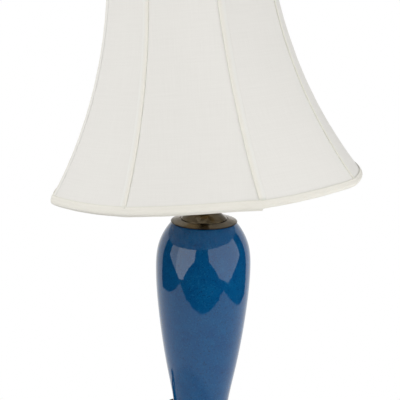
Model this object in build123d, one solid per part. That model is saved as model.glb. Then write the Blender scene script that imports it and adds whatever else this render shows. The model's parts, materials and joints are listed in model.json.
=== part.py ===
"""Ceramic table lamp: glazed vase on a metal foot, harp, bulb and a panelled bell shade that sits crooked.

Millimetres, +Z up.  The origin is the middle of the felt that the lamp stands on, -Y faces the viewer.
"""
import math
import os

from build123d import *

# Clearances
slip = 0.2           # between pieces that slide over each other when the lamp is put together
thread_gap = 0.1     # between plain cylinders that stand for a thread
running = 0.05       # radial, in turning fits
seat_gap = 0.15      # under a face that turns on its seat
sewn_gap = 0.1       # between layers of cloth and wire in the shade

# Foot
felt_thickness = 2.0
felt_inset = 1.0
base_radius = 66.0
base_edge_height = 5.0
base_ledge_radius = 58.0
base_ledge_rise = 3.0
base_collar_radius = 40.0
base_top_radius = 38.6
base_collar_height = 4.5
base_height = 26.5
base_wall = 2.0
base_round_share = 0.72     # how far out and up the ledge's round passes between its two ends
base_sweep_share = 0.28     # how far out the hollow sweep passes between collar and ledge
base_sweep_sag = 0.18       # how far the sweep sags below the middle of its rise
weight_height = 15.0
washer_radius = 11.0
washer_thickness = 1.6
nut_width = 14.0
nut_height = 5.0
gasket_thickness = 1.5
gasket_width = 8.0
gasket_inset = 3.5

# Vase, heights above its own foot
vase_foot_radius = 36.5
vase_waist_radius = 34.6
vase_waist_height = 22.0
vase_taper_radius = 45.2
vase_taper_height = 96.0
vase_upper_radius = 57.6
vase_upper_height = 176.0
vase_belly_radius = 62.0
vase_belly_height = 236.0
vase_shoulder_radius = 58.6
vase_shoulder_height = 270.0
vase_neck_radius = 51.7
vase_neck_height = 286.0
vase_lip_radius = 41.0
vase_lip_height = 300.3
vase_rim_radius = 38.6
vase_height = 300.8
vase_mouth_radius = 33.0
vase_wall = 6.0
vase_floor = 8.0

# Cap on the vase, heights above its rim
cap_radius = 43.2
cap_lip_width = 0.85
cap_lip_drop = 0.8
cap_edge_height = 1.4
cap_edge_round = 0.45
cap_step_radius = 31.6
cap_step_height = 4.2
cap_step_depth = 1.6
cap_groove_depth = 0.9
cap_top_radius = 13.0
cap_height = 15.0
cap_dome_bulge = 1.2
cap_wall = 1.5

# Tube through the lamp and the neck above the cap
rod_radius = 4.8
rod_bore_radius = 3.2
rod_end = 1.0
neck_radius = 9.5
neck_waist_radius = 7.4
neck_flange_height = 3.0
neck_height = 30.2

# Harp and its saddle: the harp leans in its own plane, and the shade leans a little further
lean_direction = 150.5
harp_lean = 5.5
shade_lean = 6.35
saddle_thickness = 1.6
saddle_width = 12.0
saddle_flat = 11.0
saddle_bend = 15.0
saddle_reach = 36.0
tongue_width = 4.0
tongue_height = 18.0
harp_wire_radius = 1.8
harp_leg = 33.0
harp_leg_height = 52.0
harp_bow = 60.0
harp_bow_low = 112.0
harp_bow_high = 190.0
harp_shoulder = 36.0
harp_shoulder_height = 268.0
harp_top = 18.0
harp_height = 293.0
harp_plate_radius = 8.0
harp_plate_thickness = 4.2
harp_bends = (80.0, 80.0, 120.0, 40.0, 16.0)
sleeve_wall = 0.9
sleeve_length = 14.0

# Lamp holder, heights above the saddle
hub_radius = 7.6
hub_height = 8.0
hub_roof = 1.0
holder_radius = 17.2
holder_wall = 0.9
holder_shoulder_height = 19.0
holder_cap_height = 26.0
rod_in_hub = 7.5
set_screw_radius = 1.5
set_screw_height = 4.0
set_screw_proud = 1.2
shell_wall = 0.7
shell_top = 64.0
liner_wall = 0.8
liner_top = 62.0
block_top = 38.0
screw_shell_wall = 0.5
screw_shell_lip = 9.0
screw_shell_floor = 0.8
contact_radius = 3.5
contact_height = 2.4
shaft_height = 31.0
shaft_radius = 1.6
shaft_root = 7.0
shaft_window_radius = 3.2
knob_radius = 6.2
knob_start = 20.0
knob_length = 11.0
knob_roof = 2.0
knob_flutes = 12
knob_flute_radius = 0.8

# Bulb
bulb_cap_radius = 13.05
bulb_cap_height = 20.0
bulb_button_radius = 4.5
bulb_button_height = 1.5
bulb_cone_radius = 11.5
bulb_cone_height = 3.0
bulb_neck_radius = 13.0
bulb_globe_radius = 30.0
bulb_globe_height = 55.0
bulb_globe_angle = 30.0
bulb_neck_length = 3.0
bulb_neck_waist = 0.92
bulb_wall = 0.8

# Shade, heights above its rim; radii in the middle of a panel
panel_count = 8
seam_direction = -72.6
shade_rim_radius = 198.1
shade_top_radius = 99.3
shade_height = 297.2
bell_radius = 570.0
panel_plan_radius = 310.0
shade_seat_height = 286.7
panel_thickness = 0.8
lining_thickness = 0.6
ring_wire_radius = 1.4
rib_wire_radius = 1.3
spider_wire_radius = 1.5
spider_washer_radius = 11.0
spider_washer_thickness = 1.5
trim_thickness = 0.9
bottom_trim_depth = 10.0
top_trim_depth = 8.0
trim_turn_in = 8.0
tape_width = 9.4
swing_margin = 1.0   # degrees that a layer is swung past its seams before it is cut there

# Stud and finial
stud_shank_radius = 2.4
stud_head_radius = 4.6
stud_head_height = 1.6
stud_thread_radius = 3.05
stud_thread_height = 9.5
finial_foot_radius = 7.2
finial_foot_height = 2.5
finial_stem_radius = 4.6
finial_stem_height = 9.0
finial_ball_radius = 8.5
finial_collar_radius = 6.2
finial_collar_height = 2.0
finial_tip_radius = 2.6

# Supply cord
cord_radius = 3.0
cord_route = [
    (-28.8, 38.4, 58.8),
    (-37.2, 49.6, 58.8),
    (-45.5, 64.0, 51.9),
    (-49.4, 75.1, 38.2),
    (-52.0, 85.2, 23.5),
    (-55.7, 96.8, 10.3),
    (-63.1, 111.5, 4.0),
    (-77.1, 122.8, 4.0),
]
corner_share = 0.45
bushing_radius = 5.5
bushing_inside = 4.0
bushing_flange_radius = 8.5
bushing_flange = 2.2
bushing_seat = 0.7
bushing_taper_radius = 5.0
lead_radius = 1.0
lead_spread = 1.3
lead_bend = 6.0
lead_window_below = 4.0
lead_window_above = 10.0
coil_turns = 7.25
coil_radius = 47.6
coil_gap = 0.6
coil_climb = 0.5
coil_step = 0.01     # turns between the points that give the coil's heading
gap_points = 8       # points on each arc of the coil where its gap is measured
gap_skip = 5         # arcs to either side that count as the same turn
tie_width = 10.0
tie_thickness = 0.75
tie_turn = 0.125
tie_round = 3.0
tie_slack = 0.35
plug_lead = 24.0
plug_tail = 14.0
plug_tail_radius = 4.4
plug_length = 32.0
plug_width = 24.0
plug_thickness = 20.0
plug_round = 5.0
blade_length = 17.0
blade_width = 6.35
blade_thickness = 1.5
blade_spacing = 12.7

# Levels above the table
base_bottom = felt_thickness
base_top = base_bottom + base_height
vase_foot = base_top + gasket_thickness
vase_top = vase_foot + vase_height
cap_rim = vase_top - cap_lip_drop
cap_top = cap_rim + cap_height
saddle_level = cap_top + neck_height + saddle_thickness / 2
holder_level = saddle_level + saddle_thickness / 2
weight_bottom = base_top - base_wall - weight_height
washer_bottom = weight_bottom - washer_thickness
nut_bottom = washer_bottom - nut_height
rod_bottom = nut_bottom - rod_end
rod_top = holder_level + rod_in_hub
rod_hole = rod_radius + thread_gap
cord_level = cord_route[0][2]

LOW = (Align.CENTER, Align.CENTER, Align.MIN)


def export(name, shape):
    """Write one node."""
    export_step(shape, f"parts/{name}.step")


def direction(angle, slope=0.0):
    """Unit vector at a bearing from +X, tipped up by a slope, in degrees."""
    flat = math.cos(math.radians(slope))
    turn = math.radians(angle)
    return Vector(flat * math.cos(turn), flat * math.sin(turn), math.sin(math.radians(slope)))


def turned(*edges):
    """Solid turned about Z from edges in the XZ plane."""
    return revolve(make_face(Curve() + list(edges)), Axis.Z)


def turned_points(*points):
    """Solid turned about Z from corners given as radius and height."""
    corners = [(radius, 0, height) for radius, height in points]
    return revolve(make_face(Polyline(*corners, close=True)), Axis.Z)


def ring(outer, inner, bottom, top):
    """Plain tube or washer."""
    return turned_points((inner, bottom), (outer, bottom), (outer, top), (inner, top))


def disc(radius, bottom, top):
    """Plain cylinder on the lamp's axis."""
    return Pos(0, 0, bottom) * Cylinder(radius, top - bottom, align=LOW)


def tube_along(path, radius):
    """Round bar along a path."""
    return sweep(Plane(origin=path @ 0, z_dir=path % 0) * Circle(radius), path=path)


def point(radius, height):
    """Point of a turned outline."""
    return (radius, 0, height)


# Foot

def felt_pad():
    return disc(base_radius - felt_inset, 0, felt_thickness)


def base_inner_radius():
    """Radius of the recess under the base's collar."""
    return base_top_radius - base_wall


def base():
    """Cast foot: upright edge, rounded ledge, hollow sweep up to a collar."""
    edge = base_bottom + base_edge_height
    ledge = edge + base_ledge_rise
    collar = base_top - base_collar_height
    rise = (ledge + collar) / 2
    sweep_in = base_collar_radius + (base_ledge_radius - base_collar_radius) * base_sweep_share
    shoulder = base_ledge_radius + (base_radius - base_ledge_radius) * base_round_share
    body = turned(
        Line(point(0, base_bottom), point(base_radius, base_bottom)),
        Line(point(base_radius, base_bottom), point(base_radius, edge)),
        ThreePointArc(
            point(base_radius, edge),
            point(shoulder, edge + base_ledge_rise * base_round_share),
            point(base_ledge_radius, ledge),
        ),
        ThreePointArc(
            point(base_ledge_radius, ledge),
            point(sweep_in, rise - (collar - ledge) * base_sweep_sag),
            point(base_collar_radius, collar),
        ),
        Line(point(base_collar_radius, collar), point(base_top_radius, collar)),
        Line(point(base_top_radius, collar), point(base_top_radius, base_top)),
        Line(point(base_top_radius, base_top), point(0, base_top)),
        Line(point(0, base_top), point(0, base_bottom)),
    )
    low_recess = disc(base_ledge_radius - base_wall, base_bottom, ledge - base_wall)
    high_recess = disc(base_inner_radius(), base_bottom, base_top - base_wall)
    return body - low_recess - high_recess - disc(rod_hole, base_bottom, base_top)


def base_weight():
    return ring(base_inner_radius() - slip, rod_hole, weight_bottom, base_top - base_wall)


def base_washer():
    return ring(washer_radius, rod_hole, washer_bottom, weight_bottom)


def base_nut():
    hexagon = RegularPolygon(nut_width / 2, 6, major_radius=False)
    return Pos(0, 0, nut_bottom) * extrude(hexagon, nut_height) - disc(rod_hole, nut_bottom, washer_bottom)


def vase_gasket():
    outer = min(vase_foot_radius, base_top_radius) - gasket_inset
    return ring(outer, outer - gasket_width, base_top, vase_foot)


# Vase

def vase_outline(inset):
    """Spline of the vase's side from its waist to its neck, drawn in by an inset."""
    places = (
        (vase_waist_radius, vase_waist_height),
        (vase_taper_radius, vase_taper_height),
        (vase_upper_radius, vase_upper_height),
        (vase_belly_radius, vase_belly_height),
        (vase_shoulder_radius, vase_shoulder_height),
    )
    return [point(radius - inset, vase_foot + height) for radius, height in places]


def vase():
    """Hollow vase: small foot, long taper, high belly and round shoulder under the cap."""
    foot = point(vase_foot_radius, vase_foot)
    neck = point(vase_neck_radius, vase_foot + vase_neck_height)
    lip = point(vase_lip_radius, vase_foot + vase_lip_height)
    side = Spline(foot, *vase_outline(0), neck, lip)
    outer = turned(
        Line(point(0, vase_foot), foot),
        side,
        Line(lip, point(vase_rim_radius, vase_top)),
        Line(point(vase_rim_radius, vase_top), point(0, vase_top)),
        Line(point(0, vase_top), point(0, vase_foot)),
    )
    floor = vase_foot + vase_floor
    inner_points = vase_outline(vase_wall)
    corner = point(inner_points[0][0], floor)
    mouth = point(vase_mouth_radius, vase_foot + vase_lip_height - vase_wall)
    hollow = turned(
        Line(point(0, floor), corner),
        Line(corner, inner_points[0]),
        Spline(*inner_points, mouth),
        Line(mouth, point(vase_mouth_radius, vase_top)),
        Line(point(vase_mouth_radius, vase_top), point(0, vase_top)),
        Line(point(0, vase_top), point(0, floor)),
    )
    cord_hole = cord_plane() * Cylinder(bushing_radius + slip, bushing_reach(), align=LOW)
    return outer - hollow - disc(rod_hole, vase_foot, floor) - cord_hole


def vase_cap():
    """Stepped bronze cap that closes the vase and carries the neck."""
    step = cap_rim + cap_step_height
    inner_step = cap_step_radius - cap_step_depth
    groove_outer = cap_step_radius - cap_groove_depth / 2
    groove_low = step - cap_groove_depth
    middle = (inner_step + cap_top_radius) / 2
    dome_low = step + cap_step_depth / 2
    dome_mid = (dome_low + cap_top) / 2 + cap_dome_bulge
    lip_outer = cap_radius - cap_edge_round
    lip_inner = lip_outer - cap_lip_width
    edge_top = cap_rim + cap_edge_height
    under_top = cap_top - cap_wall
    body = turned(
        Line(point(0, cap_rim), point(lip_outer, cap_rim)),
        ThreePointArc(
            point(lip_outer, cap_rim),
            point(cap_radius, (cap_rim + edge_top) / 2),
            point(lip_outer, edge_top),
        ),
        Line(point(lip_outer, edge_top), point(cap_step_radius, step)),
        Line(point(cap_step_radius, step), point(groove_outer, groove_low)),
        Line(point(groove_outer, groove_low), point(inner_step, groove_low)),
        Line(point(inner_step, groove_low), point(inner_step, dome_low)),
        ThreePointArc(point(inner_step, dome_low), point(middle, dome_mid), point(cap_top_radius, cap_top)),
        Line(point(cap_top_radius, cap_top), point(0, cap_top)),
        Line(point(0, cap_top), point(0, cap_rim)),
    )
    skirt = disc(lip_inner, cap_rim, vase_top)
    hollow = turned_points(
        (0, vase_top),
        (inner_step - cap_wall, vase_top),
        (inner_step - cap_wall, step - cap_wall),
        (cap_top_radius - cap_wall, under_top),
        (0, under_top),
    )
    return body - skirt - hollow - disc(rod_hole, cap_rim, cap_top)


def neck():
    """Spool between the cap and the harp's saddle."""
    top = cap_top + neck_height
    low = cap_top + neck_flange_height
    high = top - neck_flange_height
    body = turned(
        Line(point(0, cap_top), point(neck_radius, cap_top)),
        Line(point(neck_radius, cap_top), point(neck_radius, low)),
        ThreePointArc(
            point(neck_radius, low),
            point(neck_waist_radius, (low + high) / 2),
            point(neck_radius, high),
        ),
        Line(point(neck_radius, high), point(neck_radius, top)),
        Line(point(neck_radius, top), point(0, top)),
        Line(point(0, top), point(0, cap_top)),
    )
    return body - disc(rod_hole, cap_top, top)


def lamp_rod():
    """Tube that pulls the stack together, with a window where the wires come in."""
    window_height = lead_window_below + lead_window_above
    window_width = 2 * (lead_spread + lead_radius + slip)
    window = Pos(0, 0, cord_level - lead_window_below) * Box(
        2 * rod_radius, window_width, window_height, align=(Align.MIN, Align.CENTER, Align.MIN)
    )
    return ring(rod_radius, rod_bore_radius, rod_bottom, rod_top) - Rot(0, 0, cord_bearing()) * window


# Harp

def lean_vector():
    return direction(lean_direction)


def harp_axis():
    """Direction in which the harp stands."""
    return direction(lean_direction, 90 - harp_lean)


def harp_plane():
    """Plane of the harp: x across it, y up it, from the middle of the saddle."""
    across = direction(lean_direction, -harp_lean)
    return Plane(origin=(0, 0, saddle_level), x_dir=across, z_dir=across.cross(harp_axis()))


def level_plane():
    """The same upright plane with x level."""
    across = lean_vector()
    return Plane(origin=(0, 0, saddle_level), x_dir=across, z_dir=across.cross(Vector(0, 0, 1)))


def leaned(across, up):
    """A point of the leaning harp in the level plane."""
    turn = math.radians(harp_lean)
    return (
        across * math.cos(turn) + up * math.sin(turn),
        up * math.cos(turn) - across * math.sin(turn),
    )


def tongue_place():
    """Distance from the harp's middle line to the middle of a saddle tongue."""
    return harp_leg - harp_wire_radius - sewn_gap - saddle_thickness / 2


def harp_saddle():
    """Bent strip under the holder, with an upright tongue at each end."""
    half = saddle_thickness / 2
    upper = [leaned(-saddle_reach, half), leaned(-saddle_bend, half), (-saddle_flat, half)]
    upper += [(saddle_flat, half), leaned(saddle_bend, half), leaned(saddle_reach, half)]
    lower = [leaned(saddle_reach, -half), leaned(saddle_bend, -half), (saddle_flat, -half)]
    lower += [(-saddle_flat, -half), leaned(-saddle_bend, -half), leaned(-saddle_reach, -half)]
    outline = make_face(Polyline(*[(*place, 0) for place in upper + lower], close=True))
    strip = level_plane() * extrude(outline, saddle_width / 2, both=True)
    tongue = Box(saddle_thickness, tongue_height, tongue_width, align=(Align.CENTER, Align.MIN, Align.CENTER))
    for side in (-1, 1):
        strip += harp_plane() * Pos(side * tongue_place(), 0, 0) * tongue
    return strip - disc(rod_hole, saddle_level - saddle_width, saddle_level + saddle_width)


def harp_side(side):
    """One leg of the harp's wire, from its foot on the saddle to the plate on top."""
    foot = saddle_thickness / 2
    top = harp_height - harp_plate_thickness / 2
    route = [
        (harp_leg, foot),
        (harp_leg, harp_leg_height),
        (harp_bow, harp_bow_low),
        (harp_bow, harp_bow_high),
        (harp_shoulder, harp_shoulder_height),
        (harp_top, top),
        ((harp_plate_radius + stud_shank_radius) / 2, top),
    ]
    path = FilletPolyline(*[(side * across, up, 0) for across, up in route], radius=harp_bends)
    return tube_along(harp_plane() * path, harp_wire_radius)


def harp():
    """Bent wire with a flattened plate on top, bored for the stud."""
    plate = shade_plane() * disc(
        harp_plate_radius, shade_seat_height - harp_plate_thickness, shade_seat_height
    )
    bore = shade_plane() * disc(stud_shank_radius + running, 0, shade_seat_height)
    return harp_side(-1) + harp_side(1) + plate - bore


def sleeve_middle():
    """Distance from the harp's middle line to the middle of a sleeve."""
    return harp_leg - (sewn_gap + saddle_thickness) / 2


def sleeve_bore():
    """Bore that passes over a tongue and a harp leg side by side."""
    half_span = harp_wire_radius + (sewn_gap + saddle_thickness) / 2
    return math.hypot(half_span, tongue_width / 2) + slip


def harp_sleeve(side):
    """Collar that slides down over a tongue and a leg to lock them."""
    bore = sleeve_bore()
    start = saddle_thickness / 2 + 2 * seat_gap
    wall = Circle(bore + sleeve_wall) - Circle(bore)
    stand = Plane(harp_plane().origin, x_dir=harp_plane().x_dir, z_dir=harp_plane().y_dir)
    return stand * Pos(side * sleeve_middle(), 0, start) * extrude(wall, sleeve_length)


# Lamp holder and switch

def knob_turn():
    """Rotation that lays a Z-turned piece along the switch's axis."""
    return Pos(0, 0, holder_level + shaft_height) * Rot(0, 0, lean_direction + 90) * Rot(0, 90, 0)


def cone_height():
    """Height above the saddle at which the contact block meets the holder cap's inner cone."""
    inner = holder_radius - holder_wall
    start = hub_height + hub_roof
    run = (block_radius() - rod_hole) / (inner - rod_hole)
    return start + run * (holder_shoulder_height - start)


def shell_outer():
    return holder_radius - holder_wall - thread_gap


def liner_outer():
    return shell_outer() - shell_wall - thread_gap


def block_radius():
    return liner_outer() - liner_wall - thread_gap


def holder_cap():
    """Lower half of the holder's metal case, screwed on the rod."""
    inner = holder_radius - holder_wall
    case = turned_points(
        (rod_hole, 0),
        (hub_radius, 0),
        (hub_radius, hub_height),
        (holder_radius, holder_shoulder_height),
        (holder_radius, holder_cap_height),
        (inner, holder_cap_height),
        (inner, holder_shoulder_height),
        (rod_hole, hub_height + hub_roof),
    )
    hole = set_screw_place() * Cylinder(set_screw_radius + running, hub_radius * 2, align=LOW)
    return Pos(0, 0, holder_level) * case - hole


def set_screw_place():
    return Pos(0, 0, holder_level + set_screw_height) * Rot(0, 0, lean_direction - 90) * Rot(0, 90, 0)


def set_screw():
    start = rod_radius + thread_gap
    length = hub_radius + set_screw_proud - start
    return set_screw_place() * Pos(0, 0, start) * Cylinder(set_screw_radius, length, align=LOW)


def shaft_window():
    """Hole through the case and its liner for the switch's shaft."""
    return knob_turn() * Cylinder(shaft_window_radius, knob_start, align=LOW)


def holder_shell():
    outer = shell_outer()
    low = holder_level + holder_shoulder_height + slip
    return ring(outer, outer - shell_wall, low, holder_level + shell_top) - shaft_window()


def holder_liner():
    outer = liner_outer()
    low = holder_level + holder_shoulder_height + slip
    return ring(outer, outer - liner_wall, low, holder_level + liner_top) - shaft_window()


def contact_block():
    """Insulating block that holds the switch and the contacts."""
    block = disc(block_radius(), holder_level + cone_height() + slip, holder_level + block_top)
    bore = Pos(0, 0, shaft_root - slip) * Cylinder(shaft_radius + running, block_radius(), align=LOW)
    return block - knob_turn() * bore


def screw_shell_inner():
    return bulb_cap_radius + slip


def screw_shell():
    """Threaded cup that takes the bulb."""
    inner = screw_shell_inner()
    low = holder_level + block_top
    wall = ring(inner + screw_shell_wall, inner, low, holder_level + liner_top)
    return wall + ring(inner, screw_shell_lip, low, low + screw_shell_floor)


def centre_contact():
    low = holder_level + block_top
    return disc(contact_radius, low, low + contact_height)


def switch_shaft():
    reach = knob_start + knob_length - knob_roof
    return knob_turn() * Pos(0, 0, shaft_root) * Cylinder(shaft_radius, reach - shaft_root, align=LOW)


def switch_knob():
    """Fluted turn knob."""
    knob = Cylinder(knob_radius, knob_length, align=LOW)
    flute = Cylinder(knob_flute_radius, knob_length, align=LOW)
    flutes = [loc * flute for loc in PolarLocations(knob_radius, knob_flutes)]
    socket = Cylinder(shaft_radius + thread_gap, knob_length - knob_roof, align=LOW)
    return knob_turn() * Pos(0, 0, knob_start) * (knob - flutes - socket)


# Bulb

def bulb_bottom():
    return holder_level + block_top + contact_height + slip


def glass_bottom():
    return bulb_bottom() + bulb_button_height + bulb_cone_height + bulb_cap_height


def bulb_cap():
    """Screw cap of the bulb with its contact button."""
    low = bulb_bottom()
    cone = low + bulb_button_height
    shell = cone + bulb_cone_height
    return turned_points(
        (0, low),
        (bulb_button_radius, low),
        (bulb_button_radius, cone),
        (bulb_cone_radius, shell),
        (bulb_cap_radius, shell),
        (bulb_cap_radius, glass_bottom()),
        (0, glass_bottom()),
    )


def globe(inset):
    """Bulb outline turned solid, drawn in by an inset."""
    low = glass_bottom()
    radius = bulb_globe_radius - inset
    centre = low + bulb_globe_height
    angle = math.radians(bulb_globe_angle)
    neck_at = point(bulb_neck_radius - inset, low + bulb_neck_length)
    join = point(radius * math.cos(angle), centre - radius * math.sin(angle))
    waist = point((neck_at[0] + join[0]) / 2 * bulb_neck_waist, (neck_at[2] + join[2]) / 2)
    return turned(
        Line(point(0, low), point(neck_at[0], low)),
        Line(point(neck_at[0], low), neck_at),
        ThreePointArc(neck_at, waist, join),
        ThreePointArc(join, point(radius, centre), point(0, centre + radius)),
        Line(point(0, centre + radius), point(0, low)),
    )


def bulb_glass():
    return globe(0) - globe(bulb_wall)


# Shade: every layer is a bell outline swung about a panel's own plan centre and cut at the seams

def shade_axis():
    return direction(lean_direction, 90 - shade_lean)


def shade_plane():
    """Frame of the shade, from the middle of its rim."""
    axis = shade_axis()
    seat = Vector(0, 0, saddle_level) + harp_axis() * harp_height
    return Plane(origin=seat - axis * shade_seat_height, x_dir=Vector(0, 1, 0).cross(axis), z_dir=axis)


half_panel = math.pi / panel_count
bell_chord = math.hypot(shade_rim_radius - shade_top_radius, shade_height)
bell_half_angle = math.asin(bell_chord / 2 / bell_radius)
rim_slope = math.atan2(shade_rim_radius - shade_top_radius, shade_height) + bell_half_angle
bell_length = 2 * bell_half_angle * bell_radius
bell_centre = (
    shade_rim_radius + bell_radius * math.cos(rim_slope),
    bell_radius * math.sin(rim_slope),
)
plan_offset = panel_plan_radius - shade_rim_radius
rib_inset = panel_thickness + rib_wire_radius + 2 * sewn_gap
ring_inset = panel_thickness + ring_wire_radius + 2 * sewn_gap
lining_inset = panel_thickness + 2 * max(ring_wire_radius, rib_wire_radius) + 5 * sewn_gap
bottom_ring_run = ring_wire_radius + sewn_gap
top_ring_run = bell_length - bottom_ring_run


def bell_at(run, inset):
    """Radius and height on the bell at a distance up its curve, drawn in by an inset."""
    angle = rim_slope - run / bell_radius
    reach = bell_radius + inset
    return (bell_centre[0] - reach * math.cos(angle), bell_centre[1] - reach * math.sin(angle))


def seam_at(run, inset):
    """The same place on a seam, where two panels meet further out."""
    radius, height = bell_at(run, inset)
    along = plan_offset * math.cos(half_panel)
    across = plan_offset * math.sin(half_panel)
    return (math.sqrt((radius + plan_offset) ** 2 - across**2) - along, height)


def bell_band(low, high, outer, inner):
    """Face between two runs and two insets."""
    middle = (low + high) / 2
    out = [point(*bell_at(run, outer)) for run in (low, middle, high)]
    back = [point(*bell_at(run, inner)) for run in (high, middle, low)]
    edges = [ThreePointArc(*out), Line(out[2], back[0]), ThreePointArc(*back), Line(back[2], out[0])]
    return make_face(Curve() + edges)


def panel_wedge(gap):
    """Sector of one panel, with half the seam's gap taken off each side."""
    reach = 2 * shade_rim_radius
    apex = gap / 2 / math.sin(half_panel)
    corner = (apex + reach * math.cos(half_panel), reach * math.sin(half_panel))
    outline = make_face(Polyline((apex, 0), corner, (corner[0], -corner[1]), close=True))
    return Pos(0, 0, -shade_height) * extrude(outline, 3 * shade_height)


def panel_swing(face, gap):
    """A layer of one panel from its outline in the XZ plane."""
    pivot = Axis((-plan_offset, 0, 0), (0, 0, 1))
    spread = math.degrees(math.asin(shade_rim_radius * math.tan(half_panel) / panel_plan_radius))
    spread += swing_margin
    layer = revolve(face.rotate(pivot, -spread), pivot, revolution_arc=2 * spread)
    return layer & panel_wedge(gap)


def seam_turn(index):
    """Bearing of a seam in the shade's frame."""
    return Rot(0, 0, seam_direction + index * 360 / panel_count)


def panel_turn(index):
    """Bearing of a panel's middle in the shade's frame."""
    return Rot(0, 0, seam_direction + (index + 0.5) * 360 / panel_count)


def all_round(layer):
    """One closed layer from a copy for each panel."""
    copies = [panel_turn(index) * layer for index in range(panel_count)]
    return copies[0].fuse(*copies[1:])


def shade_panel(index):
    face = bell_band(0, bell_length, 0, panel_thickness)
    return panel_turn(index) * panel_swing(face, sewn_gap)


def shade_lining():
    face = bell_band(0, bell_length, lining_inset, lining_inset + lining_thickness)
    return all_round(panel_swing(face, 0)) - spider_arms(sewn_gap)


def wire_ring(run):
    """Wire ring that follows the rim's outline."""
    radius, height = bell_at(run, ring_inset)
    face = Plane(origin=(radius, 0, height), z_dir=(0, -1, 0)) * Circle(ring_wire_radius)
    return all_round(panel_swing(face, 0))


def shade_ribs():
    """Upright wires behind the seams, between the two rings."""
    ring_room = ring_wire_radius + sewn_gap
    runs = (bottom_ring_run + ring_room, bell_length / 2, top_ring_run - ring_room)
    path = ThreePointArc(*[point(*seam_at(run, rib_inset)) for run in runs])
    rib = tube_along(path, rib_wire_radius)
    return Compound(children=[seam_turn(index) * rib for index in range(panel_count)])


def spider_arms(room):
    """Arms from the washer out to the top ring, in the middle of every second panel, with room round them."""
    washer_middle = shade_seat_height + seat_gap + spider_washer_thickness / 2
    start = Vector(*point(spider_washer_radius - spider_wire_radius, washer_middle))
    ring_middle = Vector(*point(*bell_at(top_ring_run, ring_inset)))
    way = (ring_middle - start).normalized()
    end = ring_middle - way * (ring_wire_radius + sewn_gap)
    arm = tube_along(Line(start, end), spider_wire_radius + room)
    return [panel_turn(index) * arm for index in range(0, panel_count, 2)]


def shade_spider():
    """Washer on the harp's stud with four arms out to the top ring."""
    low = shade_seat_height + seat_gap
    washer = ring(spider_washer_radius, stud_thread_radius + slip, low, low + spider_washer_thickness)
    return washer.fuse(*spider_arms(0)) - disc(spider_washer_radius, 0, low)


def binding(start, inward, depth):
    """Cloth folded round an edge: down the outside, under the edge and up inside the lining."""
    outer = -trim_thickness - sewn_gap
    inner = lining_inset + lining_thickness + sewn_gap
    edge = start - inward * sewn_gap
    fold = edge - inward * trim_thickness
    places = (
        (fold, outer),
        (start + inward * depth, outer),
        (start + inward * depth, -sewn_gap),
        (edge, -sewn_gap),
        (edge, inner),
        (start + inward * trim_turn_in, inner),
        (start + inward * trim_turn_in, inner + trim_thickness),
        (fold, inner + trim_thickness),
    )
    face = make_face(Polyline(*[point(*bell_at(run, inset)) for run, inset in places], close=True))
    return all_round(panel_swing(face, 0))


def seam_tape():
    """Tape over one seam, in a frame with the seam on +X."""
    low = bottom_trim_depth + sewn_gap
    high = bell_length - top_trim_depth - sewn_gap
    layer = panel_swing(bell_band(low, high, -trim_thickness - sewn_gap, -sewn_gap), 0)
    half_turn = math.degrees(half_panel)
    reach = 2 * shade_rim_radius
    halves = []
    for side in (-1, 1):
        align = (Align.MIN, Align.MAX if side < 0 else Align.MIN, Align.CENTER)
        strip = Box(reach, tape_width / 2, 3 * shade_height, align=align)
        halves.append(Rot(0, 0, side * half_turn) * layer & strip)
    return halves[0].fuse(halves[1])


# Stud and finial, in the shade's frame

def harp_stud():
    """Swivel stud: head under the plate, shank through it, thread above."""
    plate = shade_seat_height - harp_plate_thickness
    shoulder = shade_seat_height + seat_gap
    stud = disc(stud_head_radius, plate - seat_gap - stud_head_height, plate - seat_gap)
    stud += disc(stud_shank_radius, plate - seat_gap, shoulder)
    stud += disc(stud_thread_radius, shoulder, shoulder + stud_thread_height)
    return stud


def finial():
    """Turned knob screwed down on the shade's washer."""
    low = shade_seat_height + spider_washer_thickness + 2 * seat_gap
    foot = low + finial_foot_height
    stem = foot + finial_stem_height
    collar = stem + finial_collar_height
    rise = math.sqrt(finial_ball_radius**2 - finial_stem_radius**2)
    centre = collar + rise
    top = centre + finial_ball_radius
    body = turned(
        Line(point(0, low), point(finial_foot_radius, low)),
        Line(point(finial_foot_radius, low), point(finial_foot_radius, foot)),
        ThreePointArc(
            point(finial_foot_radius, foot),
            point(finial_stem_radius, (foot + stem) / 2),
            point(finial_stem_radius, stem),
        ),
        Line(point(finial_stem_radius, stem), point(finial_collar_radius, stem)),
        Line(point(finial_collar_radius, stem), point(finial_collar_radius, collar)),
        Line(point(finial_collar_radius, collar), point(finial_stem_radius, collar)),
        ThreePointArc(
            point(finial_stem_radius, collar),
            point(finial_ball_radius, centre),
            point(0, top),
        ),
        Line(point(0, top), point(0, low)),
    )
    body += Pos(0, 0, top) * Sphere(finial_tip_radius)
    bore_top = shade_seat_height + seat_gap + stud_thread_height + slip
    return body - disc(stud_thread_radius + running, low, bore_top)


# Cord, coil and plug

def cord_bearing():
    """Bearing at which the cord leaves the vase."""
    return math.degrees(math.atan2(cord_route[0][1], cord_route[0][0]))


def bushing_reach():
    """Distance from the lamp's axis to the bushing's tip."""
    return math.hypot(cord_route[0][0], cord_route[0][1])


def cord_plane():
    """Frame of the cord's exit: z outwards along the bushing."""
    return Plane(origin=(0, 0, cord_level), x_dir=(0, 0, 1), z_dir=direction(cord_bearing()))


def bushing_inner_end():
    return vase_waist_radius - vase_wall - bushing_inside


def cord_bushing():
    """Tapered strain relief through the vase's wall."""
    seat = vase_waist_radius + bushing_seat
    flange = seat + bushing_flange
    return cord_plane() * turned_points(
        (0, bushing_inner_end()),
        (bushing_radius, bushing_inner_end()),
        (bushing_radius, seat),
        (bushing_flange_radius, seat),
        (bushing_flange_radius, flange),
        (bushing_taper_radius, flange),
        (cord_radius + slip, bushing_reach()),
        (0, bushing_reach()),
    )


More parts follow.
